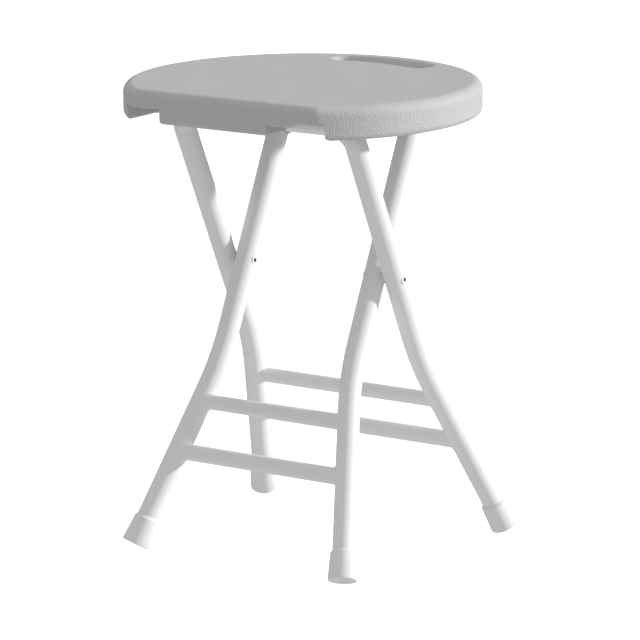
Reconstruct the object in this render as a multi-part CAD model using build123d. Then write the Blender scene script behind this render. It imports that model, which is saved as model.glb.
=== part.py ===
from build123d import *
import os
from math import cos, radians, sin, sqrt, tan

# Folding shower stool: a blow-moulded seat on two crossed tubular leg frames.
# Millimetres, +Z up. +X runs along the pivot rivets, +Y towards the handle slot.
# Pieces are built about the seat's centre and then moved so that the origin is
# the centre of the stool's footprint box, on the floor.

# ---- overall sizes
seat_height = 447.0
seat_radius = 168.0
flat_offset = 132.5          # seat centre to the flat side, towards -Y

# ---- seat moulding
skirt_depth = 30.5           # depth of the rim, top face to bottom edge
panel_depth = 16.5           # thickness over the hollow underside
rim_width = 33.0
corner_radius = 10.5         # plan radius where the flat side meets the round
top_edge_radius = 9.0
bottom_edge_radius = 5.0
seat_wall = 3.0
tab_gap_left = 16.5          # hanging tab on the flat side, to the legs beside it
tab_gap_right = 36.5
lip_drop = 4.0               # shallow lip beside the tab, below the channel's ceiling
lip_gap = 3.5                # lip to the leg beside it
lip_slope = 8.0
rim_end_chamfer = 2.0
channel_edge_radius = 2.5
recess_corner_radius = 20.0

# ---- handle slot
grip_width = 21.0            # between the slot and the rim's outer face
slot_width = 25.0
slot_half_angle = 18.4
slot_turn = 2.5              # slot's middle from the +Y axis, towards +X
slot_edge_radius = 4.0

# ---- kiss-off pits that tie the two walls of the seat together
pit_radius = 6.0
pit_floor = 4.5              # material left above each pit
pit_columns = (-96.0, -48.0, 0.0, 48.0, 96.0)
pit_rows = (-18.0, 14.0, 46.0)
blow_hole_radius = 3.0
blow_hole_place = (72.0, 14.0)

# ---- leg frames
tube_radius = 10.5
tube_wall = 1.5
pivot_drop = 181.0           # seat's top face to the pivot line
pivot_offset = 9.0           # pivot line from the seat centre, towards +Y
frame_tilt = 25.5            # each frame plane from the vertical, degrees
outer_half_width = 96.5
washer_gap = 2.0             # between the crossing legs
top_bend_radius = 22.0
splay_start = 67.0           # below the pivot, along the frame plane
splay_angle = 13.3
splay_radius = 267.0

# ---- stretchers, by distance below the pivot along the frame plane
upper_stretcher_drop = 142.0
outer_lower_stretcher_drop = 188.8
inner_lower_stretcher_drop = 192.8
upper_stretcher_radius = 7.25
lower_stretcher_radius = 8.0
stretcher_wall = 1.2

# ---- foot caps
cap_height = 29.0
cap_bottom_wall = 3.5        # outside the tube's radius, at the floor
cap_top_wall = 1.7
cap_floor = 5.0
cap_edge_radius = 1.5

# ---- pivot rivets and washers
rivet_radius = 3.0
rivet_bore_radius = 1.9
rivet_bore_depth = 6.0
rivet_head_radius = 4.2
rivet_head_height = 0.9
washer_radius = 6.0

# ---- hinge straps on the outer crossbar
strap_place = 19.0           # each side of the centre plane
strap_width = 18.0
strap_thickness = 1.8
strap_flange = 14.0

# ---- latch clips on the inner crossbar
clip_place = 24.0
clip_width = 16.0
clip_thickness = 2.0
clip_flange = 5.5            # past the screws
clip_wrap_angle = 24.0       # how far the arms depart from a level half round

# ---- screws
screw_radius = 1.75
screw_length = 11.0
screw_head_radius = 3.6
screw_head_height = 2.2
screw_drive_radius = 1.6
screw_offset = 9.0           # from the crossbar's surface
boss_radius = 6.0

# ---- cutters
cut_margin = 1.0             # how far a cutter passes the face it cuts
flush = 0.1                  # how near an edge must be to count as on a face

# ---- clearances
running_clearance = 0.08     # rivets in the moving legs, crossbar in its straps
fixed_clearance = 0.02       # pieces that are pressed together
bar_gap = 0.2                # outer crossbar to the panel above it
clip_clearance = 0.3
end_clearance = 0.1
channel_clearance = 3.0      # outer legs to the channels' outer sides

# ---- worked-out places
tilt = radians(frame_tilt)
splay = radians(splay_angle)
panel_under = seat_height - panel_depth
skirt_under = seat_height - skirt_depth
pivot_height = seat_height - pivot_drop
slot_radius = seat_radius - grip_width - slot_width / 2
channel_reach = outer_half_width + tube_radius + channel_clearance
tab_left = outer_half_width - tube_radius - tab_gap_left
tab_right = outer_half_width - tube_radius - tab_gap_right
lip_end = outer_half_width - tube_radius - lip_gap
cap_bottom_radius = tube_radius + cap_bottom_wall
cap_top_radius = tube_radius + cap_top_wall
screw_reach = tube_radius + screw_offset
clip_base_reach = screw_reach + clip_flange
inner_half_width = outer_half_width - 2 * tube_radius - washer_gap
outer_bar_height = panel_under - bar_gap - tube_radius
inner_bar_height = panel_under - clip_thickness - clip_clearance - tube_radius
outer_rise = (outer_bar_height - pivot_height) / cos(tilt)
inner_rise = (inner_bar_height - pivot_height) / cos(tilt)
outer_bar_y = pivot_offset - outer_rise * sin(tilt)
inner_bar_y = pivot_offset + inner_rise * sin(tilt)
cap_lean = sqrt(1 - (cos(splay) * cos(tilt)) ** 2)
cap_lift = (cap_bottom_radius - cap_edge_radius) * cap_lean
cap_lift += cap_edge_radius * (1 - cos(splay) * cos(tilt))
foot_drop = (pivot_height - cap_lift) / cos(tilt)
outer_place = Pos(0, pivot_offset, pivot_height) * Rot(90 + frame_tilt, 0, 0)
inner_place = Pos(0, pivot_offset, pivot_height) * Rot(90 - frame_tilt, 0, 0)
along_x = Rot(0, 90, 0)


# ---------------------------------------------------------------- seat
def flat_sided_disc(radius, flat, corner):
    """Round face with one flat side towards -Y and rounded corners."""
    half = sqrt(radius**2 - flat**2)
    chord = Line((-half, -flat), (half, -flat))
    arc = ThreePointArc((half, -flat), (0, radius), (-half, -flat))
    face = make_face([chord, arc])
    return fillet(face.vertices(), corner)


def slab(face, low, high):
    """Face raised from one height to another."""
    return Pos(0, 0, low) * extrude(face, high - low)


def handle_slot(grow):
    """Kidney-shaped face, concentric with the rim."""
    start = 90 - slot_turn - slot_half_angle
    middle = CenterArc((0, 0), slot_radius, start, 2 * slot_half_angle)
    return SlotArc(middle, slot_width + 2 * grow)


def rounded_block(inset):
    """Seat block before it is hollowed, with every face moved in by inset."""
    radius = seat_radius - inset
    face = flat_sided_disc(radius, flat_offset - inset, corner_radius - inset)
    block = slab(face, skirt_under + inset, seat_height - inset)
    upper = block.faces().sort_by(Axis.Z)[-1].edges()
    block = fillet(upper, top_edge_radius - inset)
    lower = block.faces().sort_by(Axis.Z)[0].edges()
    return fillet(lower, bottom_edge_radius - inset)


def underside_cutter(inset):
    """The hollow under the panel and the two channels that the outer legs fold into."""
    bottom = skirt_under - cut_margin
    inner = rim_width - inset
    face = flat_sided_disc(seat_radius - inner, flat_offset - inner, recess_corner_radius)
    cutter = slab(face, bottom, panel_under + inset)
    back = -flat_offset + rim_width + recess_corner_radius
    for outline in channel_outlines(inset):
        section = Plane.XZ * make_face(Polyline(*outline, close=True))
        cutter += Pos(0, back, 0) * extrude(section, back + seat_radius)
    return cutter


def channel_outlines(inset):
    """Channel cross sections in (X, Z), their lower corners flared and a lip in the right one."""
    ceiling = panel_under + inset
    lip = ceiling - lip_drop
    reach = channel_reach + inset
    left_start = -tab_left + inset
    right_start = tab_right - inset
    flare = rim_end_chamfer + inset * (sqrt(2) - 1)
    low = skirt_under + flare
    bottom = skirt_under - cut_margin
    spread = flare + cut_margin
    left = [
        (-reach - spread, bottom),
        (-reach, low),
        (-reach, ceiling),
        (left_start, ceiling),
        (left_start, low),
        (left_start + spread, bottom),
    ]
    right = [
        (right_start - spread, bottom),
        (right_start, low),
        (right_start, lip),
        (lip_end - lip_slope, lip),
        (lip_end, ceiling),
        (reach, ceiling),
        (reach, low),
        (reach + spread, bottom),
    ]
    return left, right


def pit_cutters(inset):
    """Round pits from the underside to just below the top face."""
    top = seat_height - pit_floor + inset
    middle = (skirt_under + top) / 2
    post = Cylinder(pit_radius + inset, top - skirt_under)
    return [Pos(x, y, middle) * post for x in pit_columns for y in pit_rows]


def screw_places():
    """Screw positions under the seat: hinge strap screws, then latch clip screws."""
    sides = (-1, 1)
    strap = [(s * strap_place, outer_bar_y + t * screw_reach) for s in sides for t in sides]
    clip = [(s * clip_place, inner_bar_y + t * screw_reach) for s in sides for t in sides]
    return strap, clip


def seat_body(inset):
    """Seat moulding without its handle slot and pits, with faces moved in by inset."""
    return rounded_block(inset) - underside_cutter(inset)


def seat_core():
    """Air space between the two walls of the moulding."""
    core = seat_body(seat_wall)
    core -= slab(handle_slot(seat_wall), 0, seat_height)
    core -= pit_cutters(seat_wall)
    strap, clip = screw_places()
    boss = Cylinder(boss_radius, skirt_depth)
    return core - [Pos(x, y, (seat_height + skirt_under) / 2) * boss for x, y in strap + clip]


def channel_mouths(body):
    """Upper edges of the two channels, where they open on the flat side."""
    flat = body.edges().filter_by_position(Axis.Y, -flat_offset - flush, -flat_offset + flush)
    low = panel_under - lip_drop - flush
    upper = flat.filter_by_position(Axis.Z, low, panel_under + flush)
    return upper.filter_by(Axis.Z, reverse=True)


def seat_shell():
    """Double-walled seat moulding with slot, pits, pilot holes and blow hole."""
    body = seat_body(0)
    body = fillet(channel_mouths(body), channel_edge_radius)
    body -= slab(handle_slot(0), 0, seat_height + cut_margin)
    mouth = body.faces().sort_by(Axis.Z)[-1].inner_wires()[0].edges()
    body = fillet(mouth, slot_edge_radius)
    body -= pit_cutters(0)
    body -= seat_core()
    strap, clip = screw_places()
    pilot = Cylinder(screw_radius, 2 * screw_length)
    body -= [Pos(x, y, panel_under) * pilot for x, y in strap + clip]
    hole = Cylinder(blow_hole_radius, 2 * (seat_wall + cut_margin))
    return body - Pos(*blow_hole_place, panel_under) * hole


# ---------------------------------------------------------------- leg frames
def leg_path(half_width, rise):
    """Middle line of one bent leg frame, in the frame's own plane: foot, up, over, down."""
    bend = splay_start + splay_radius * tan(splay / 2)
    reach = half_width + (foot_drop - bend) * tan(splay)
    foot_x = reach - cap_floor * sin(splay)
    foot_y = -foot_drop + cap_floor * cos(splay)
    points = [
        (-foot_x, foot_y),
        (-half_width, -bend),
        (-half_width, rise),
        (half_width, rise),
        (half_width, -bend),
        (foot_x, foot_y),
    ]
    radii = [splay_radius, top_bend_radius, top_bend_radius, splay_radius]
    return FilletPolyline(*points, radius=radii)


def swept(path, section):
    """Section carried along a leg path."""
    start = Plane(origin=path @ 0, x_dir=(0, 0, 1), z_dir=path % 0)
    return sweep(start * section, path=path)


def leg_tube(half_width, rise, head_side, hole_radius):
    """Bent leg tube with rivet holes and a flat seat for each rivet head."""
    section = Circle(tube_radius) - Circle(tube_radius - tube_wall)
    tube = swept(leg_path(half_width, rise), section)
    tube -= along_x * Cylinder(hole_radius, 3 * half_width)
    seat_depth = 2 * (rivet_head_height + end_clearance)
    seat = along_x * Cylinder(rivet_head_radius + end_clearance, seat_depth)
    crest = half_width + head_side * tube_radius
    return tube - [Pos(side * crest, 0, 0) * seat for side in (-1, 1)]


def leg_width_at(half_width, drop):
    """Half width of a leg frame on its splayed stretch, at a distance below the pivot."""
    bend = splay_start + splay_radius * tan(splay / 2)
    return half_width + (drop - bend) * tan(splay)


def stretcher(half_width, rise, drop, radius):
    """Round cross tube, its ends shaped to the legs it is welded to."""
    length = 2 * leg_width_at(half_width, drop)
    bar = along_x * (Cylinder(radius, length) - Cylinder(radius - stretcher_wall, length))
    legs = swept(leg_path(half_width, rise), Circle(tube_radius))
    return Pos(0, -drop, 0) * bar - legs


def foot_cap():
    """Tapered foot cap, its bottom face on the XY plane and its socket upwards."""
    outline = [
        (0, 0),
        (cap_bottom_radius, 0),
        (cap_top_radius, cap_height),
        (0, cap_height),
    ]
    face = make_face(Polyline(*outline, close=True))
    corners = face.vertices().filter_by_position(Axis.X, 1, cap_bottom_radius)
    face = fillet(corners, cap_edge_radius)
    cap = revolve(Plane.XZ * face, Axis.Z)
    socket = Cylinder(tube_radius + fixed_clearance, cap_height)
    return cap - Pos(0, 0, cap_floor + cap_height / 2) * socket


def placed_cap(half_width, side):
    """Foot cap on one leg, in the frame's own plane."""
    reach = leg_width_at(half_width, foot_drop)
    lean = side * splay_angle
    return Pos(side * reach, -foot_drop, 0) * Rot(0, 0, lean) * Rot(-90, 0, 0) * foot_cap()


# ---------------------------------------------------------------- pivots
def pivot_rivet(side):
    """Semi-tubular rivet through an outer and an inner leg, a head at each end."""
    far = outer_half_width + tube_radius
    near = inner_half_width - tube_radius
    middle = Pos(side * (far + near) / 2, 0, 0)
    span = far - near
    rivet = along_x * Cylinder(rivet_radius, span)
    head = along_x * Cylinder(rivet_head_radius, rivet_head_height)
    bore = along_x * Cylinder(rivet_bore_radius, 2 * rivet_bore_depth)
    for end in (-1, 1):
        rivet += Pos(end * (span - rivet_head_height) / 2, 0, 0) * head
    for end in (-1, 1):
        rivet -= Pos(end * span / 2, 0, 0) * bore
    return middle * rivet


def pivot_washer(side):
    """Spacer washer between the crossing legs."""
    thickness = washer_gap - 2 * end_clearance
    ring = Cylinder(washer_radius, thickness) - Cylinder(rivet_radius + running_clearance, thickness)
    return Pos(side * (outer_half_width - tube_radius - washer_gap / 2), 0, 0) * along_x * ring


# ---------------------------------------------------------------- seat fittings
def placed_profile(face, x, width):
    """Profile drawn in (Y, Z) about a crossbar's middle, extruded along the crossbar."""
    return Pos(x, 0, 0) * extrude(Plane.YZ * face, width / 2, both=True)


def hinge_strap(side):
    """Strap that wraps the outer crossbar from below, with a flange each way."""
    inner = tube_radius + running_clearance
    outer = inner + strap_thickness
    top = tube_radius + bar_gap
    face = Circle(outer) + Pos(0, top / 2) * Rectangle(2 * outer, top)
    reach = outer + strap_flange
    face += Pos(0, top - strap_thickness / 2) * Rectangle(2 * reach, strap_thickness)
    face -= Circle(inner)
    face -= Pos(0, top) * Rectangle(2 * inner, 2 * top)
    face &= Pos(0, top - seat_height / 2) * Rectangle(seat_height, seat_height)
    strap = placed_profile(face, side * strap_place, strap_width)
    hole = Cylinder(screw_radius + end_clearance, seat_height)
    holes = [Pos(side * strap_place, t * screw_reach, 0) * hole for t in (-1, 1)]
    return Pos(0, outer_bar_y, outer_bar_height) * (strap - holes)


def latch_clip(side):
    """Spring clip over the inner crossbar; its open side lets the bar leave down and forward."""
    inner = tube_radius + clip_clearance
    outer = inner + clip_thickness
    opening = Pos(0, -outer) * Rectangle(4 * outer, 2 * outer)
    face = Circle(outer) - Rot(0, 0, -clip_wrap_angle) * opening
    base = Pos(0, inner + clip_thickness / 2)
    face += base * Rectangle(2 * clip_base_reach, clip_thickness)
    face -= Circle(inner)
    clip = placed_profile(face, side * clip_place, clip_width)
    hole = Cylinder(screw_radius + end_clearance, seat_height)
    holes = [Pos(side * clip_place, t * screw_reach, 0) * hole for t in (-1, 1)]
    return Pos(0, inner_bar_y, inner_bar_height) * (clip - holes)


def pan_screw():
    """Pan-head screw pointing up, its head resting against a face at Z = 0."""
    head = Pos(0, 0, -screw_head_height / 2) * Cylinder(screw_head_radius, screw_head_height)
    head = fillet(head.edges().sort_by(Axis.Z)[0], screw_head_height / 2)
    shank = Pos(0, 0, screw_length / 2) * Cylinder(screw_radius, screw_length)
    cross = Box(2 * screw_drive_radius, screw_drive_radius / 2, screw_head_height)
    drive = Pos(0, 0, -screw_head_height) * (cross + Rot(0, 0, 90) * cross)
    return head + shank - drive


def screw_set(places, plate):
    """Screws through a plate of the given thickness into the seat's bosses."""
    screw = pan_screw()
    return Compound([Pos(x, y, panel_under - plate) * screw for x, y in places])


# ---------------------------------------------------------------- assembly
def frame_pieces(name, half_width, rise, lower_drop, head_side, hole_radius, place, feet):
    """Every piece of one welded leg frame, placed in the stool."""
    bars = {
        "upper_stretcher": (upper_stretcher_drop, upper_stretcher_radius),
        "lower_stretcher": (lower_drop, lower_stretcher_radius),
    }
    pieces = {name + "_leg_tube": leg_tube(half_width, rise, head_side, hole_radius)}
    for bar, (drop, radius) in bars.items():
        pieces[name + "_" + bar] = stretcher(half_width, rise, drop, radius)
    for foot, side in feet.items():
        pieces[foot + "_foot_cap"] = placed_cap(half_width, side)
    return {node: place * piece for node, piece in pieces.items()}


def build():
    """All nodes by name, about the seat's centre."""
    nodes = {"seat_shell": seat_shell()}
    fixed = rivet_radius + fixed_clearance
    running = rivet_radius + running_clearance
    back = {"back_left": -1, "back_right": 1}
    front = {"front_left": -1, "front_right": 1}
    drop = outer_lower_stretcher_drop
    nodes |= frame_pieces("outer", outer_half_width, outer_rise, drop, 1, fixed, outer_place, back)
    drop = inner_lower_stretcher_drop
    nodes |= frame_pieces("inner", inner_half_width, inner_rise, drop, -1, running, inner_place, front)
    for name, side in (("left", -1), ("right", 1)):
        nodes["pivot_rivet_" + name] = outer_place * pivot_rivet(side)
        nodes["pivot_washer_" + name] = outer_place * pivot_washer(side)
        nodes["hinge_strap_" + name] = hinge_strap(side)
        nodes["latch_clip_" + name] = latch_clip(side)
    strap, clip = screw_places()
    nodes["hinge_strap_screws"] = screw_set(strap, strap_thickness)
    nodes["latch_clip_screws"] = screw_set(clip, clip_thickness)
    return nodes


def main():
    """Build, centre the footprint on the origin and write one STEP per node."""
    os.makedirs("parts", exist_ok=True)
    nodes = build()
    box = Compound(list(nodes.values())).bounding_box()
    shift = Pos(-box.center().X, -box.center().Y, -box.min.Z)
    for name, piece in nodes.items():
        export_step(shift * piece, "parts/" + name + ".step")
    print("box", box.min, box.max)
    print("pivot", shift * Pos(0, pivot_offset, pivot_height))
    print("outer bar", shift * Pos(0, outer_bar_y, outer_bar_height))
    print("inner bar", shift * Pos(0, inner_bar_y, inner_bar_height))


main()
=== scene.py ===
"""Folding shower stool: finishes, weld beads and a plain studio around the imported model.

Laid out as an add-on. Property groups hold the sizes and colours, one operator makes
each group of pieces, and main() calls the operators in order.
"""

import math

import bpy
import numpy as np
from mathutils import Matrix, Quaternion, Vector


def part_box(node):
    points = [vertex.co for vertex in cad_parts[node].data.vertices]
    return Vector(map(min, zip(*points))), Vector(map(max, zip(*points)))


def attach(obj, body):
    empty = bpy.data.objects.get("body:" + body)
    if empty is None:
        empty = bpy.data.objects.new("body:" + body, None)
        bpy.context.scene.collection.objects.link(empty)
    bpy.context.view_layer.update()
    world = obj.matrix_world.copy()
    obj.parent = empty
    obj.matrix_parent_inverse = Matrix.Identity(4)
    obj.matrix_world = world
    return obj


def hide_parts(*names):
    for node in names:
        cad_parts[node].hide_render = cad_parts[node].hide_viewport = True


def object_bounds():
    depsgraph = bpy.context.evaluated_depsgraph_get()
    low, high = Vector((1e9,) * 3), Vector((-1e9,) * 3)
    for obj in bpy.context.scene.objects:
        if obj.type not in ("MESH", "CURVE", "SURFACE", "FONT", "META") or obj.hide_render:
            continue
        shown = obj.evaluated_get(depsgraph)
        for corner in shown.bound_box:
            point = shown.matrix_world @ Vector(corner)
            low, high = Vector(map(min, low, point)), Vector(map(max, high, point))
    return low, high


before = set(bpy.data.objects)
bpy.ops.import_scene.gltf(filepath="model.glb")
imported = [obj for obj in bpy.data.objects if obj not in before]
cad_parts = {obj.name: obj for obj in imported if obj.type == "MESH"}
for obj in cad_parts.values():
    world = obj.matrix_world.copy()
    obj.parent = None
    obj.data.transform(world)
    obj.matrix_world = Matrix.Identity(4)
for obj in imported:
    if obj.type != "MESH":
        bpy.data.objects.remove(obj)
CAD_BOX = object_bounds()

bl_info = {
    "name": "Folding shower stool",
    "version": (1, 0, 0),
    "blender": (4, 5, 0),
    "location": "3D View > Sidebar > Stool",
    "description": "Finishes, weld beads and a studio for a folding shower stool",
    "category": "Object",
}


# ---------------------------------------------------------------- settings
def colour(name, description, default):
    """Colour setting, linear RGB."""
    return bpy.props.FloatVectorProperty(
        name=name, description=description, default=default, subtype="COLOR", size=3, min=0, max=1
    )


def length(name, description, default):
    """Length setting, in metres."""
    return bpy.props.FloatProperty(
        name=name, description=description, default=default, unit="LENGTH", precision=5
    )


def number(name, description, default):
    """Plain number setting."""
    return bpy.props.FloatProperty(name=name, description=description, default=default)


def angle(name, description, degrees):
    """Angle setting, given in degrees and kept in radians."""
    return bpy.props.FloatProperty(
        name=name, description=description, default=math.radians(degrees), unit="ROTATION"
    )


def count(name, description, default):
    """Whole number setting."""
    return bpy.props.IntProperty(name=name, description=description, default=default)


class StoolFinish(bpy.types.PropertyGroup):
    """Colours and grain sizes of the finishes."""

    seat_colour: colour("Seat", "Moulded seat plastic", (0.56, 0.56, 0.562))
    frame_colour: colour("Frame", "Powder coat on the tubes", (0.90, 0.90, 0.90))
    cap_colour: colour("Foot caps", "Soft plastic of the caps", (0.87, 0.87, 0.87))
    bore_radius: length("Bore radius", "Inside of the hollow rivets", 0.00185)
    steel_colour: colour("Steel", "Zinc-plated fittings", (0.60, 0.60, 0.61))
    # Painted shade: the bores are coloured near black to stand for the shade inside the hollow
    # rivets.
    bore_shade_colour: colour("Rivet bore shade", "Painted shade inside the hollow rivets", (0.05, 0.05, 0.05))
    washer_colour: colour("Washers", "Nylon spacers between the legs", (0.86, 0.86, 0.86))
    clip_colour: colour("Clips", "Natural nylon", (0.72, 0.71, 0.68))
    peel_size: length("Orange peel", "Width of one ripple in the powder coat", 0.0022)
    peel_depth: length("Orange peel depth", "Height of the powder coat's ripples", 0.00009)
    cloud_size: length("Clouding", "Width of the powder coat's duller patches", 0.05)
    scuff_size: length("Coat scuffs", "Width of the scuffs on the powder coat", 0.012)
    cap_scuff_size: length("Cap scuffs", "Width of the scuffs on the foot caps", 0.005)
    cap_grain_size: length("Cap grain", "Width of the grain on the foot caps", 0.0008)
    cap_grain_depth: length("Cap grain depth", "Height of the grain on the foot caps", 0.00006)
    cap_wear_height: length("Cap greying", "Height to which the caps are greyed", 0.012)
    rivet_grain_size: length("Rivet grain", "Width of the ripples on the rivet heads", 0.0011)
    rivet_grain_depth: length("Rivet grain depth", "Height of the rivets' ripples", 0.00004)
    streak_size: length("Zinc streaks", "Width of one drawn streak", 0.0012)
    streak_depth: length("Streak depth", "Depth of the drawn streaks", 0.00003)
    nylon_grain_size: length("Nylon grain", "Width of the satin grain", 0.0007)
    nylon_grain_depth: length("Nylon grain depth", "Height of the satin grain", 0.00004)
    flow_size: length("Flow marks", "Width of the flow marks in the nylon", 0.008)
    patch_size: length("Seat patches", "Width of the seat's lighter patches", 0.035)
    fade_height: length("Grain fade", "Height over which the grain goes fine at the top", 0.007)
    fade_end: length("Grain fade end", "Below the seat's face, where the fine grain starts", 0.001)
    top_grain: number("Top grain", "Grain depth on the face, as a share of the rim's", 0.3)
    plastic_sheen: number("Sheen", "Specular level of the plastics and the powder coat", 0.3)
    grain_size: length("Grain size", "Width of one leather cell on the seat", 0.0034)
    grain_depth: length("Grain depth", "Depth of the creases between leather cells", 0.00016)


class StoolWelds(bpy.types.PropertyGroup):
    """Sizes that place and shape the weld beads."""

    tube_radius: length("Leg radius", "Outer radius of the leg tubes", 0.0105)
    tilt: angle("Frame tilt", "Each leg frame from the vertical", 25.5)
    splay: angle("Leg splay", "Lower leg from its frame's middle line", 13.3)
    reach: length("Weld reach", "Reach of a bead along each tube", 0.0026)
    sink: length("Sink", "How far a bead's edges are sunk into the tubes", 0.0001)
    hollow: number("Hollow", "How far a bead's middle is drawn in, from 0 flat to 1 sharp", 0.5)
    depth: number("Depth", "Last row inside the metal, as a share of each radius", 0.1)
    ripple: length("Ripple", "Height of the ripples along a bead", 0.00008)
    ripples: count("Ripples", "Ripples round one bead", 26)
    around: count("Points around", "Grid points round a stretcher", 144)
    across: count("Points across", "Grid points across a bead", 10)


class StoolCaps(bpy.types.PropertyGroup):
    """Sizes of the foot caps, along each leg's axis from the sole."""

    height: length("Height", "Sole to the cap's upper edge", 0.029)
    bottom_radius: length("Bottom radius", "Outside, at the sole", 0.014)
    top_radius: length("Top radius", "Outside, under the shoulder", 0.0124)
    mouth_radius: length("Mouth radius", "Upper edge, round the tube", 0.0107)
    shoulder: length("Shoulder", "Length of the sloped shoulder", 0.003)
    edge_radius: length("Edge radius", "Rounding round the sole", 0.0015)
    floor: length("Floor", "Thickness under the tube's end", 0.005)
    groove_depth: length("Groove depth", "Depth of the rings in the sole", 0.0007)
    groove_pitch: length("Groove pitch", "From one ring of the sole to the next", 0.0028)
    inner_radius: length("Inner radius", "Inside, just under the tube's surface", 0.0104)
    lip: length("Lip", "From the upper edge down to the inside", 0.0002)
    around: count("Points around", "Grid points round a cap", 96)
    sole_points: count("Sole points", "Points from the middle of the sole to its edge", 60)
    bend_points: count("Bend points", "Points along the edge and the shoulder", 9)


class StoolStudio(bpy.types.PropertyGroup):
    """Camera and lights."""

    azimuth: angle("Azimuth", "Camera direction round the stool", 34.17)
    elevation: angle("Elevation", "Camera direction above the floor", 12.47)
    roll: angle("Roll", "Camera turn about its own axis", -0.41)
    distance: length("Distance", "Camera to the subject", 3.869)
    lens: number("Lens", "Focal length in mm on a 36 mm sensor", 230.15)
    drop: length("Drop", "Middle of the picture's subject, below the seat's face", 0.225)
    aim_right: length("Aim right", "Picture centre, right of the seat's axis", 0.0144)
    aim_up: length("Aim up", "Picture centre, above the subject", -0.0054)
    key_strength: number("Key strength", "Strength of the key light", 2.75)
    key_azimuth: angle("Key azimuth", "Key light's direction round the stool", 123.0)
    key_elevation: angle("Key elevation", "Key light above the floor", 17.0)
    key_size: angle("Key size", "Apparent width of the key light", 3.0)
    sky_colour: colour("Sky colour", "Tint of the soft light", (1.0, 0.978, 1.0))
    overhead: number("Overhead light", "Soft light from straight above", 0.72)
    around: number("Light around", "Soft light from the level of the floor", 0.36)
    under: number("Light from below", "Soft light thrown back up by the floor", 0.78)
    floor_colour: colour("Floor", "Pale studio floor", (0.90, 0.90, 0.90))
    floor_glow: number("Floor glow", "Brightness of the floor", 1.06)
    floor_reach: length("Floor reach", "Radius of the floor", 30.0)
    floor_middle: length("Floor middle", "Radius of the floor's first ring", 0.001)
    floor_rings: count("Floor rings", "Rings from the middle to the reach", 24)
    floor_around: count("Floor points", "Points round each ring", 96)
    cloud_size: length("Floor clouds", "Width of the floor's faint clouds", 0.4)
    cloud_depth: length("Floor cloud depth", "Height of the floor's faint unevenness", 0.0001)


# ---------------------------------------------------------------- node helpers
def new_material(name):
    """Node material with a shader and an output, its tree and the shader."""
    material = bpy.data.materials.new(name)
    material.use_nodes = True
    tree = material.node_tree
    tree.nodes.clear()
    output = tree.nodes.new("ShaderNodeOutputMaterial")
    shader = tree.nodes.new("ShaderNodeBsdfPrincipled")
    tree.links.new(shader.outputs["BSDF"], output.inputs["Surface"])
    return material, tree, shader


def feed(tree, socket, value):
    """Gives a socket a value, or a link when the value is a socket."""
    if isinstance(value, bpy.types.NodeSocket):
        tree.links.new(value, socket)
    else:
        socket.default_value = value


def add(tree, kind, settings=None, **inputs):
    """Node of a kind with its settings and named inputs."""
    made = tree.nodes.new("ShaderNode" + kind)
    for key, value in (settings or {}).items():
        setattr(made, key, value)
    for key, value in inputs.items():
        feed(tree, made.inputs[key.replace("_", " ")], value)
    return made


def place(tree, scale=(1, 1, 1), shift=(0, 0, 0)):
    """Object coordinates, moved and stretched."""
    where = add(tree, "TexCoord").outputs["Object"]
    return add(tree, "Mapping", Vector=where, Scale=scale, Location=shift).outputs["Vector"]


def height_of(tree):
    """Height above the floor."""
    return add(tree, "SeparateXYZ", Vector=place(tree)).outputs["Z"]


def noise(tree, vector, size, detail=3.0, roughness=0.5):
    """Noise with features of a size in metres."""
    made = add(tree, "TexNoise", Vector=vector, Scale=1 / size, Detail=detail, Roughness=roughness)
    return made.outputs["Fac"]


def remap(tree, value, old, new, steps="LINEAR"):
    """Value carried from one range to another, held at both ends."""
    made = add(tree, "MapRange", {"clamp": True, "interpolation_type": steps}, Value=value)
    for key, limit in zip(("From Min", "From Max", "To Min", "To Max"), (*old, *new)):
        made.inputs[key].default_value = limit
    return made.outputs["Result"]


def maths(tree, operation, *values):
    """One arithmetic step on sockets or numbers."""
    made = add(tree, "Math", {"operation": operation})
    for socket, value in zip(made.inputs, values):
        feed(tree, socket, value)
    return made.outputs["Value"]


def blend(tree, base, other, fac):
    """Colour that goes from base to other by a factor."""
    made = add(tree, "Mix", {"data_type": "RGBA"})
    feed(tree, made.inputs[6], base if isinstance(base, bpy.types.NodeSocket) else (*base, 1))
    feed(tree, made.inputs[7], (*other, 1))
    feed(tree, made.inputs[0], fac)
    return made.outputs[2]


def shaded(base, factor):
    """Colour made lighter or darker."""
    return tuple(min(1.0, channel * factor) for channel in base)


def bump(tree, height, distance, under=None):
    """Bump of a height field, over another bump."""
    made = add(tree, "Bump", Height=height, Distance=distance, Strength=1.0)
    if under is not None:
        feed(tree, made.inputs["Normal"], under)
    return made.outputs["Normal"]


def finish_shader(tree, shader, colour_socket, roughness, normal):
    """Links colour, roughness and normal to the shader."""
    tree.links.new(colour_socket, shader.inputs["Base Color"])
    tree.links.new(roughness, shader.inputs["Roughness"])
    tree.links.new(normal, shader.inputs["Normal"])


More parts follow.
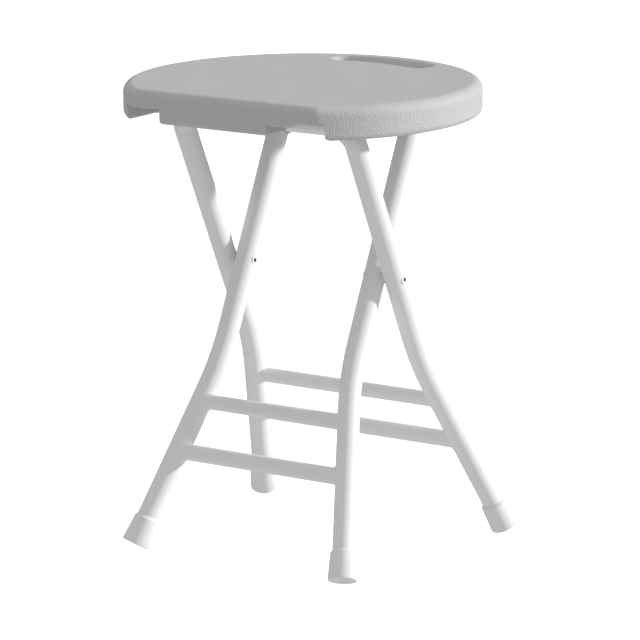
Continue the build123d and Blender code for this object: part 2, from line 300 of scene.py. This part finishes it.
# ---------------------------------------------------------------- finishes
def seat_plastic(finish):
    """Grey moulded plastic with leather grain: creases between cells with painted shade in them,
    pores and pale patches.
    """
    material, tree, shader = new_material("seat plastic")
    at = place(tree)
    size = finish.grain_size
    wander = add(tree, "TexNoise", Vector=at, Scale=1 / (3 * size), Detail=2.0).outputs["Color"]
    bent = add(tree, "VectorMath", {"operation": "MULTIPLY_ADD"})
    feed(tree, bent.inputs[0], wander)
    bent.inputs[1].default_value = (1.6 * size,) * 3
    feed(tree, bent.inputs[2], at)
    cells = add(tree, "TexVoronoi", {"feature": "DISTANCE_TO_EDGE"}, Scale=1 / size)
    feed(tree, cells.inputs["Vector"], bent.outputs[0])
    crease = remap(tree, cells.outputs["Distance"], (0.0, 0.28), (0.0, 1.0), "SMOOTHSTEP")
    pores = noise(tree, at, 0.3 * size, 3.0, 0.6)
    patches = noise(tree, at, finish.patch_size, 4.0, 0.6)
    mottle = remap(tree, patches, (0.35, 0.65), (0.0, 1.0))
    tone = blend(tree, shaded(finish.seat_colour, 0.975), shaded(finish.seat_colour, 1.02), mottle)
    # Painted shade: the colour goes darker towards the bottom of each crease between the leather
    # cells.
    crease_shade = remap(tree, crease, (0.0, 0.6), (0.5, 0.0))
    tone = blend(tree, tone, shaded(finish.seat_colour, 0.9), crease_shade)
    rough = remap(tree, pores, (0.3, 0.7), (0.50, 0.64))
    fine_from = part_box("seat_shell")[1].z - finish.fade_end
    fade = (fine_from - finish.fade_height, fine_from)
    deep = remap(tree, height_of(tree), fade, (1.0, finish.top_grain))
    relief = maths(tree, "MULTIPLY", crease, deep)
    normal = bump(tree, pores, 0.25 * finish.grain_depth)
    finish_shader(tree, shader, tone, rough, bump(tree, relief, finish.grain_depth, normal))
    shader.inputs["Specular IOR Level"].default_value = finish.plastic_sheen
    return material


def powder_coat(finish):
    """White powder coat: low orange peel, slightly uneven gloss and a few scuffs."""
    material, tree, shader = new_material("white powder coat")
    at = place(tree)
    peel = noise(tree, at, finish.peel_size, 2.0)
    cloud = noise(tree, at, finish.cloud_size, 3.0)
    scuffs = remap(tree, noise(tree, at, finish.scuff_size, 6.0, 0.7), (0.62, 0.74), (0.0, 1.0))
    tone = blend(tree, shaded(finish.frame_colour, 0.97), finish.frame_colour, cloud)
    tone = blend(tree, tone, shaded(finish.frame_colour, 0.93), scuffs)
    rough = remap(tree, cloud, (0.3, 0.7), (0.42, 0.52))
    finish_shader(tree, shader, tone, rough, bump(tree, peel, finish.peel_depth))
    shader.inputs["Specular IOR Level"].default_value = finish.plastic_sheen
    return material


def cap_plastic(finish):
    """Soft matt plastic of the foot caps, greyer where it meets the floor."""
    material, tree, shader = new_material("soft white cap plastic")
    scuffs = noise(tree, place(tree, (1, 1, 0.4)), finish.cap_scuff_size, 5.0, 0.65)
    fine = noise(tree, place(tree), finish.cap_grain_size, 3.0)
    # Darker towards the sole, up to the grey height, broken up by the scuff noise.
    low = remap(tree, height_of(tree), (0.0, finish.cap_wear_height), (0.35, 0.0))
    greyed_low = maths(tree, "MULTIPLY", low, remap(tree, scuffs, (0.35, 0.7), (0.2, 1.0)))
    tone = blend(tree, finish.cap_colour, shaded(finish.cap_colour, 0.75), greyed_low)
    rough = remap(tree, scuffs, (0.4, 0.7), (0.55, 0.72))
    finish_shader(tree, shader, tone, rough, bump(tree, fine, finish.cap_grain_depth))
    shader.inputs["Specular IOR Level"].default_value = finish.plastic_sheen
    return material


def rivet_finish(finish, node):
    """Painted rivet head round the bore, with painted shade in the bore: dark within the bore's
    radius of the rivet's axis.
    """
    low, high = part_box(node)
    middle = (low + high) / 2
    bore = finish.bore_radius
    side = node.rsplit("_", 1)[1]
    material, tree, shader = new_material("hollow rivet " + side)
    at = place(tree, (0, 1, 1), (0, -middle.y, -middle.z))
    radius = add(tree, "VectorMath", {"operation": "LENGTH"}, Vector=at).outputs["Value"]
    # Painted shade: near black within the bore's radius of the rivet's axis, for the shade down the
    # bore.
    bore_shade = remap(tree, radius, (bore, 1.12 * bore), (1.0, 0.0))
    peel = noise(tree, place(tree), finish.rivet_grain_size, 3.0)
    tone = blend(tree, finish.frame_colour, shaded(finish.frame_colour, 0.93), peel)
    tone = blend(tree, tone, finish.bore_shade_colour, bore_shade)
    rough = remap(tree, peel, (0.3, 0.7), (0.42, 0.58))
    finish_shader(tree, shader, tone, rough, bump(tree, peel, finish.rivet_grain_depth))
    return material


def zinc(name, finish, rough, stretch):
    """Zinc plating with fine drawn streaks."""
    material, tree, shader = new_material(name)
    streaks = noise(tree, place(tree, stretch), finish.streak_size, 4.0, 0.6)
    tone = blend(tree, shaded(finish.steel_colour, 0.85), shaded(finish.steel_colour, 1.12), streaks)
    uneven = remap(tree, streaks, (0.3, 0.7), (rough - 0.08, rough + 0.1))
    finish_shader(tree, shader, tone, uneven, bump(tree, streaks, finish.streak_depth))
    shader.inputs["Metallic"].default_value = 1.0
    return material


def nylon(name, finish, base, rough):
    """Moulded nylon with a satin grain and flow marks."""
    material, tree, shader = new_material(name)
    grain = noise(tree, place(tree), finish.nylon_grain_size, 3.0)
    flow = noise(tree, place(tree), finish.flow_size, 2.0)
    tone = blend(tree, shaded(base, 0.92), shaded(base, 1.06), flow)
    uneven = remap(tree, grain, (0.3, 0.7), (rough - 0.06, rough + 0.08))
    finish_shader(tree, shader, tone, uneven, bump(tree, grain, finish.nylon_grain_depth))
    return material


def pale_floor(studio):
    """Pale floor with a glow of its own, faintly clouded, and clear from below."""
    material, tree, shader = new_material("pale floor")
    cloud = noise(tree, place(tree), studio.cloud_size, 3.0)
    tone = blend(tree, shaded(studio.floor_colour, 0.98), studio.floor_colour, cloud)
    tree.links.new(tone, shader.inputs["Base Color"])
    tree.links.new(remap(tree, cloud, (0.3, 0.7), (0.85, 0.95)), shader.inputs["Roughness"])
    tree.links.new(bump(tree, cloud, studio.cloud_depth), shader.inputs["Normal"])
    from_below = add(tree, "NewGeometry").outputs["Backfacing"]
    tree.links.new(maths(tree, "SUBTRACT", 1.0, from_below), shader.inputs["Alpha"])
    shader.inputs["Specular IOR Level"].default_value = 0.0
    shader.inputs["Emission Color"].default_value = (1, 1, 1, 1)
    shader.inputs["Emission Strength"].default_value = studio.floor_glow
    return material


def dress(material, *prefixes):
    """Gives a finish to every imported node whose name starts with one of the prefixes."""
    found = [node for name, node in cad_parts.items() if name.startswith(prefixes)]
    if not found:
        raise RuntimeError("no packed node starts with " + ", ".join(prefixes))
    for node in found:
        for slot in node.material_slots:
            slot.link = "OBJECT"
            slot.material = material


# ---------------------------------------------------------------- surfaces
def ring_grid(points, closed_rows):
    """Faces of a (rows, columns) grid joined round along its columns, and along rows if closed."""
    rows, columns = points.shape[:2]
    index = np.arange(rows * columns).reshape(rows, columns)
    first = index if closed_rows else index[:-1]
    second = np.roll(index, -1, 0) if closed_rows else index[1:]
    corners = [first, np.roll(first, -1, 1), np.roll(second, -1, 1), second]
    return np.stack(corners, -1).reshape(-1, 4)


def new_mesh(name, points, faces, material):
    """Smooth-shaded mesh of points and faces."""
    mesh = bpy.data.meshes.new(name)
    mesh.from_pydata(points.reshape(-1, 3), [], faces)
    mesh.polygons.foreach_set("use_smooth", np.ones(len(mesh.polygons), bool))
    mesh.materials.append(material)
    mesh.update()
    return mesh


def new_object(mesh):
    """Object of a mesh, at the origin."""
    made = bpy.data.objects.new(mesh.name, mesh)
    bpy.context.scene.collection.objects.link(made)
    return made


def saddle(phi, bar, welds):
    """Where a stretcher of radius bar meets a leg, with the leg's axis through the origin.

    In the frame's plane u runs along the stretcher and v up the frame; w is square to
    both. The stretcher's surface is v = bar cos(phi), w = bar sin(phi), and it meets the
    leg's inner side where the distance to the leg's axis is the leg's radius.
    """
    v, w = bar * np.cos(phi), bar * np.sin(phi)
    inward = -np.sqrt(welds.tube_radius**2 - w**2)
    u = (inward - v * math.sin(welds.splay)) / math.cos(welds.splay)
    return np.stack([u, v, w], -1)


def bead(bar, welds):
    """Closed ring of weld round a stretcher's end, as a grid of (across, around) points.

    One edge lies on the stretcher, the joint moved back along it by the weld's reach.
    The other lies on the leg, the joint moved by the same reach away from the
    stretcher on the leg's unrolled surface. Across the bead the points follow
    (1 - t)^2 on_leg + 2 t (1 - t) pull + t^2 on_bar, with fine ripples, and a last row
    inside the metal closes the ring.
    """
    phi = np.linspace(0, 2 * np.pi, welds.around, endpoint=False)
    joint = saddle(phi, bar, welds)
    down = np.array([math.sin(welds.splay), -math.cos(welds.splay), 0])
    outward = np.array([math.cos(welds.splay), math.sin(welds.splay), 0])
    radius = welds.tube_radius
    turn = np.arcsin(joint[:, 2] / radius)
    along = joint @ down
    away = np.stack([along, radius * turn], -1)
    away /= np.linalg.norm(away, axis=1, keepdims=True)
    along = along + welds.reach * away[:, 0]
    turn = turn + welds.reach * away[:, 1] / radius
    under = radius - welds.sink
    on_leg = along[:, None] * down - under * np.cos(turn)[:, None] * outward
    on_leg[:, 2] = under * np.sin(turn)
    on_bar = joint * [1, 1 - welds.sink / bar, 1 - welds.sink / bar] - [welds.reach, 0, 0]
    pull = welds.hollow * joint + (1 - welds.hollow) * (on_leg + on_bar) / 2
    t = np.linspace(0, 1, welds.across)[:, None, None]
    rows = (1 - t) ** 2 * on_leg + 2 * t * (1 - t) * pull + t**2 * on_bar
    lift = np.stack([-np.ones_like(phi), np.cos(phi), np.sin(phi)], -1) / math.sqrt(2)
    wave = welds.ripple * np.cos(welds.ripples * phi)[:, None]
    rows = rows + 4 * t * (1 - t) * wave * lift
    inside = joint * [1, 1 - welds.depth, 1 - welds.depth] + [welds.depth * radius, 0, 0]
    return np.concatenate([rows, inside[None]])


def bead_places(node, welds):
    """Centre, radius and leg distance of a stretcher, from its box.

    The box is the stretcher's width across and its saddle's farthest point in x, so the
    leg's axis is that far out, less the farthest point of the same saddle about 0.
    """
    low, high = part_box(node)
    middle = (low + high) / 2
    bar = (high.z - low.z) / 2
    phi = np.linspace(0, 2 * np.pi, welds.around)
    reach = high.x - saddle(phi, bar, welds)[:, 0].max()
    return middle, bar, reach


def weld_mesh(name, node, lean, welds, material):
    """Both beads of one stretcher, in the stool's own axes.

    u becomes x, and (v, w) turn about x by the frame's lean, so that v points up the
    frame. The second bead is the first mirrored in x, with its rows reversed to keep
    its faces outward.
    """
    middle, bar, reach = bead_places(node, welds)
    ring = bead(bar, welds) + [reach, 0, 0]
    u, v, w = ring[..., 0], ring[..., 1], ring[..., 2]
    y = v * math.sin(lean) - w * math.cos(lean)
    z = v * math.cos(lean) + w * math.sin(lean)
    right = np.stack([u, y, z], -1) + [0, middle.y, middle.z]
    left = right[::-1] * [-1, 1, 1]
    faces = ring_grid(right, True)[:, ::-1]
    both = np.concatenate([faces, faces + right.shape[0] * right.shape[1]])
    return new_mesh(name, np.stack([right, left]), both, material)


def cap_profile(caps):
    """Radius and height of a cap's outline, from the middle of the sole round to its floor.

    The sole is flat with ring grooves, r from 0 to the edge and a = depth (1 - cos) / 2.
    The edge is a quarter round, the wall tapers to the shoulder, the shoulder slopes in
    to the mouth, and the inside goes down the tube to the cap's floor.
    """
    flat = caps.bottom_radius - caps.edge_radius
    sole = np.linspace(0, flat, caps.sole_points)
    last_groove = caps.groove_pitch * (flat // caps.groove_pitch)
    rings = (1 - np.cos(2 * np.pi * sole / caps.groove_pitch)) / 2
    rings *= caps.groove_depth * (sole < last_groove)
    turn = np.linspace(0, np.pi / 2, caps.bend_points)[1:]
    edge = flat + caps.edge_radius * np.sin(turn)
    edge_up = caps.edge_radius * (1 - np.cos(turn))
    rise = np.linspace(0, 1, caps.bend_points)
    step = caps.top_radius - caps.mouth_radius
    neck = caps.top_radius - step * (1 - np.cos(rise * np.pi)) / 2
    neck_up = caps.height - caps.shoulder * (1 - rise)
    inner = [caps.inner_radius, caps.inner_radius, 0]
    inner_up = [caps.height - caps.lip, caps.floor, caps.floor]
    radius = np.concatenate([sole, edge, neck, inner])
    height = np.concatenate([rings, edge_up, neck_up, inner_up])
    return radius, height


def lathe(name, radius, height, axis, columns, material):
    """Outline turned about an axis: p = height axis + radius (cos t side + sin t ahead).

    The first and last points of the outline are on the axis, and are one vertex each.
    """
    side = np.cross(axis, [0, 1, 0])
    side /= np.linalg.norm(side)
    ahead = np.cross(axis, side)
    turn = np.linspace(0, 2 * np.pi, columns, endpoint=False)[:, None]
    round_about = np.cos(turn) * side + np.sin(turn) * ahead
    rows = height[1:-1, None, None] * axis + radius[1:-1, None, None] * round_about
    quads = ring_grid(rows, False)
    ends = height[[0, -1], None] * axis
    ring = np.arange(columns)
    last = rows.shape[0] * columns
    first_fan = np.stack([np.full(columns, last), np.roll(ring, -1), ring], -1)
    last_ring = last - columns + ring
    last_fan = np.stack([np.full(columns, last + 1), last_ring, np.roll(last_ring, -1)], -1)
    points = np.concatenate([rows.reshape(-1, 3), ends])
    faces = [*quads.tolist(), *first_fan.tolist(), *last_fan.tolist()]
    return new_mesh(name, points, faces, material)


def cap_mesh(node, lean, welds, caps, material):
    """Foot cap on its leg's axis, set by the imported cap's box.

    The axis goes up the leg: (-side sin s, cos s sin l, cos s cos l) with the splay s and
    the frame's lean l.
    """
    low, high = (np.array(corner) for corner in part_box(node))
    side = math.copysign(1, low[0])
    level = math.cos(welds.splay)
    axis = np.array([-side * math.sin(welds.splay), level * math.sin(lean), level * math.cos(lean)])
    radius, height = cap_profile(caps)
    mesh = lathe(node.replace("_foot", ""), radius, height, axis, caps.around, material)
    points = np.empty(3 * len(mesh.vertices))
    mesh.vertices.foreach_get("co", points)
    points = points.reshape(-1, 3)
    shift = (low + high - points.min(0) - points.max(0)) / 2
    shift[2] = low[2] - points[:, 2].min()
    mesh.vertices.foreach_set("co", (points + shift).ravel())
    mesh.update()
    return mesh


def floor_mesh(studio, height, material):
    """Round floor: radii in equal ratios from its middle to its reach, turned about z."""
    turn = np.linspace(0, 2 * np.pi, studio.floor_around, endpoint=False)
    radii = np.geomspace(studio.floor_middle, studio.floor_reach, studio.floor_rings)[:, None]
    x, y = radii * np.cos(turn), radii * np.sin(turn)
    points = np.stack([x, y, np.full_like(x, height)], -1)
    return new_mesh("studio_floor", points, ring_grid(points, False)[:, ::-1], material)


# ---------------------------------------------------------------- operators
class STOOL_OT_seat(bpy.types.Operator):
    """Grained plastic on the seat, zinc straps and screws and nylon clips under it."""

    bl_idname = "stool.seat"
    bl_label = "Seat and fittings"

    def execute(self, context):
        finish = context.scene.stool_finish
        dress(seat_plastic(finish), "seat_shell")
        strip = zinc("zinc strip", finish, 0.38, (0.1, 1, 1))
        dress(strip, "hinge_strap_left", "hinge_strap_right")
        screws = zinc("zinc screws", finish, 0.30, (1, 1, 0.2))
        dress(screws, "hinge_strap_screws", "latch_clip_screws")
        clips = nylon("natural nylon", finish, finish.clip_colour, 0.42)
        dress(clips, "latch_clip_left", "latch_clip_right")
        return {"FINISHED"}


class STOOL_OT_frames(bpy.types.Operator):
    """Powder coat on the leg tubes and stretchers."""

    bl_idname = "stool.frames"
    bl_label = "Leg frames"

    def execute(self, context):
        finish = context.scene.stool_finish
        dress(powder_coat(finish), "outer_", "inner_")
        return {"FINISHED"}


class STOOL_OT_caps(bpy.types.Operator):
    """Foot caps with a sloped shoulder and rings in the sole."""

    bl_idname = "stool.caps"
    bl_label = "Foot caps"

    def execute(self, context):
        scene = context.scene
        plastic = cap_plastic(scene.stool_finish)
        tilt = scene.stool_welds.tilt
        for body, ends, lean in (("outer_frame", "back", -tilt), ("inner_frame", "front", tilt)):
            for side in ("left", "right"):
                node = f"{ends}_{side}_foot_cap"
                cap = new_object(cap_mesh(node, lean, scene.stool_welds, scene.stool_caps, plastic))
                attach(cap, body)
                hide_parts(node)
        return {"FINISHED"}


class STOOL_OT_pivots(bpy.types.Operator):
    """Painted hollow rivets and the nylon washers between the legs."""

    bl_idname = "stool.pivots"
    bl_label = "Pivots"

    def execute(self, context):
        finish = context.scene.stool_finish
        for node in ("pivot_rivet_left", "pivot_rivet_right"):
            dress(rivet_finish(finish, node), node)
        dress(nylon("washer nylon", finish, finish.washer_colour, 0.5), "pivot_washer")
        return {"FINISHED"}


class STOOL_OT_welds(bpy.types.Operator):
    """Weld beads where the stretchers meet the legs."""

    bl_idname = "stool.welds"
    bl_label = "Weld beads"

    def execute(self, context):
        welds = context.scene.stool_welds
        coat = bpy.data.materials["white powder coat"]
        for body, lean in (("outer", -welds.tilt), ("inner", welds.tilt)):
            for bar in ("upper", "lower"):
                node = f"{body}_{bar}_stretcher"
                mesh = weld_mesh(f"{body}_{bar}_weld_beads", node, lean, welds, coat)
                beads = new_object(mesh)
                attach(beads, body + "_frame")
        return {"FINISHED"}


def direction(azimuth, elevation):
    """Unit vector towards a place at an azimuth and an elevation."""
    flat = math.cos(elevation)
    return Vector((math.sin(azimuth) * flat, -math.cos(azimuth) * flat, math.sin(elevation)))


class STOOL_OT_studio(bpy.types.Operator):
    """Floor, soft light, key light and camera."""

    bl_idname = "stool.studio"
    bl_label = "Studio"

    def execute(self, context):
        studio = context.scene.stool_studio
        stool = [piece for piece in context.scene.objects if piece.type == "MESH"]
        floor = make_floor(studio)
        make_sky(context.scene, studio)
        keep_light(make_key(context.scene, studio), stool)
        keep_light(floor, [floor])
        make_camera(context.scene, studio)
        context.scene.view_settings.view_transform = "Standard"
        return {"FINISHED"}


def keep_light(source, receivers):
    """Lets a source light only the given objects."""
    lit = bpy.data.collections.new(source.name + " lights")
    for receiver in receivers:
        lit.objects.link(receiver)
    source.light_linking.receiver_collection = lit


def make_floor(studio):
    """Floor that the camera sees, and that neither shades the stool nor throws light on it."""
    floor = new_object(floor_mesh(studio, CAD_BOX[0].z, pale_floor(studio)))
    floor.visible_diffuse = False
    floor.visible_glossy = False
    floor.visible_shadow = False
    return floor


def make_sky(scene, studio):
    """Soft light from overhead and from below, weaker at the level of the floor."""
    world = bpy.data.worlds.new("studio sky")
    world.use_nodes = True
    tree = world.node_tree
    sky = tree.nodes["Background"]
    sky.inputs["Color"].default_value = (*studio.sky_colour, 1)
    towards = add(tree, "TexCoord").outputs["Generated"]
    up = add(tree, "SeparateXYZ", Vector=towards).outputs["Z"]
    above = remap(tree, up, (0.0, 1.0), (0.0, studio.overhead - studio.around))
    below = remap(tree, up, (-1.0, 0.0), (studio.under - studio.around, 0.0))
    extra = maths(tree, "ADD", above, below)
    tree.links.new(maths(tree, "ADD", extra, studio.around), sky.inputs["Strength"])
    scene.world = world


def make_key(scene, studio):
    """Low key light from one side."""
    light = bpy.data.lights.new("key", "SUN")
    light.energy = studio.key_strength
    light.angle = studio.key_size
    key = bpy.data.objects.new("key", light)
    scene.collection.objects.link(key)
    towards = direction(studio.key_azimuth, studio.key_elevation)
    key.rotation_mode = "QUATERNION"
    key.rotation_quaternion = towards.to_track_quat("Z", "Y")
    return key


def make_camera(scene, studio):
    """Long-lens camera turned to the seat's axis."""
    low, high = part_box("seat_shell")
    radius = (high.x - low.x) / 2
    subject = Vector(((low.x + high.x) / 2, high.y - radius, high.z - studio.drop))
    back = direction(studio.azimuth, studio.elevation)
    right = Vector((math.cos(studio.azimuth), math.sin(studio.azimuth), 0))
    aim = subject + right * studio.aim_right + back.cross(right) * studio.aim_up
    camera = bpy.data.objects.new("camera", bpy.data.cameras.new("camera"))
    camera.data.lens = studio.lens
    camera.data.sensor_width = 36
    camera.location = aim + back * studio.distance
    camera.rotation_mode = "QUATERNION"
    camera.rotation_quaternion = Quaternion(back, studio.roll) @ back.to_track_quat("Z", "Y")
    scene.collection.objects.link(camera)
    scene.camera = camera


class STOOL_PT_panel(bpy.types.Panel):
    """Lists the stool's operators."""

    bl_idname = "STOOL_PT_panel"
    bl_label = "Folding shower stool"
    bl_space_type = "VIEW_3D"
    bl_region_type = "UI"
    bl_category = "Stool"

    def draw(self, context):
        for operator in OPERATORS:
            self.layout.operator(operator.bl_idname)


GROUPS = {
    "stool_finish": StoolFinish,
    "stool_welds": StoolWelds,
    "stool_caps": StoolCaps,
    "stool_studio": StoolStudio,
}
OPERATORS = (
    STOOL_OT_seat,
    STOOL_OT_frames,
    STOOL_OT_caps,
    STOOL_OT_pivots,
    STOOL_OT_welds,
    STOOL_OT_studio,
)
CLASSES = (*GROUPS.values(), *OPERATORS, STOOL_PT_panel)


def register():
    """Registers the classes and hangs the settings on the scene."""
    for cls in CLASSES:
        bpy.utils.register_class(cls)
    for name, group in GROUPS.items():
        setattr(bpy.types.Scene, name, bpy.props.PointerProperty(type=group))


def unregister():
    """Takes away what register made."""
    for name in GROUPS:
        delattr(bpy.types.Scene, name)
    for cls in reversed(CLASSES):
        bpy.utils.unregister_class(cls)


def main():
    """Makes every piece in order."""
    register()
    bpy.ops.stool.seat()
    bpy.ops.stool.frames()
    bpy.ops.stool.caps()
    bpy.ops.stool.pivots()
    bpy.ops.stool.welds()
    bpy.ops.stool.studio()


if __name__ == "__main__":
    main()
